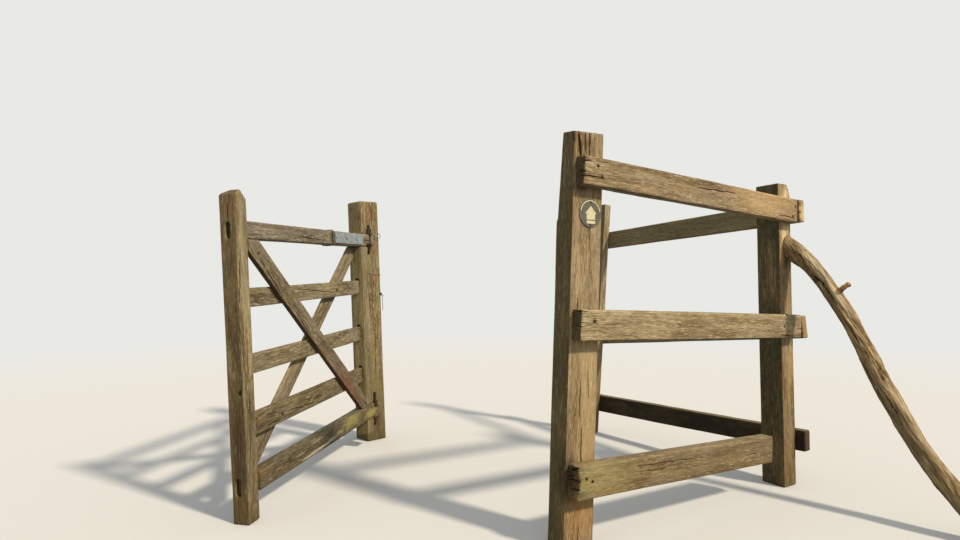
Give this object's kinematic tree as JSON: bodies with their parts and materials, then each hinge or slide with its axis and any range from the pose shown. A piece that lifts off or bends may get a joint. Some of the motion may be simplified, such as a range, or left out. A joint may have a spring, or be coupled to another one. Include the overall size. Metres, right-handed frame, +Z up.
{
  "type": "kissing gate",
  "caption": "Weathered timber kissing gate: a cross-braced leaf hung on its own leaning post, a V-shaped enclosure of three posts and six rails, and a raking prop.",
  "frame": {"origin": "centre of the hinge post's foot, at the lowest ground level", "axes": "+Z up, +X to the right and +Y away from the viewer of the picture"},
  "size_m": [2.6545, 1.6892, 1.3743],
  "materials": {
    "post_timber": "weathered, sawn",
    "rail_timber": "weathered, sawn",
    "leaf_timber": "weathered, sawn",
    "bare_pole": "peeled round pole",
    "galvanised_steel": "dull galvanised",
    "rusted_iron": "dark rust",
    "disc_plastic": "weathered"
  },
  "bodies": {
    "enclosure": {"apex_post": "post_timber", "bottom_hinge_hook": "rusted_iron", "far_bottom_rail": "rail_timber", "far_middle_rail": "rail_timber", "far_post": "post_timber", "far_top_rail": "rail_timber", "hinge_post": "post_timber", "near_bottom_rail": "rail_timber", "near_middle_rail": "rail_timber", "near_post": "post_timber", "near_top_rail": "rail_timber", "raking_prop": "bare_pole", "top_hinge_hook": "rusted_iron", "waymark_disc": "disc_plastic"},
    "leaf": {"back_brace": "leaf_timber", "closing_stile": "leaf_timber", "front_brace": "leaf_timber", "hanging_stile": "leaf_timber", "leaf_bottom_rail": "leaf_timber", "leaf_fourth_rail": "leaf_timber", "leaf_second_rail": "leaf_timber", "leaf_third_rail": "leaf_timber", "leaf_top_rail": "leaf_timber", "top_hinge_strap": "galvanised_steel"}
  },
  "joints": [
    {"name": "leaf_swing", "type": "hinge", "parent": "enclosure", "child": "leaf", "pos_m": [0.0291, -0.13673, 0.64114], "axis": [-0.0325, -0.0467, 0.9984], "range_deg": [-40, 145]}
  ]
}
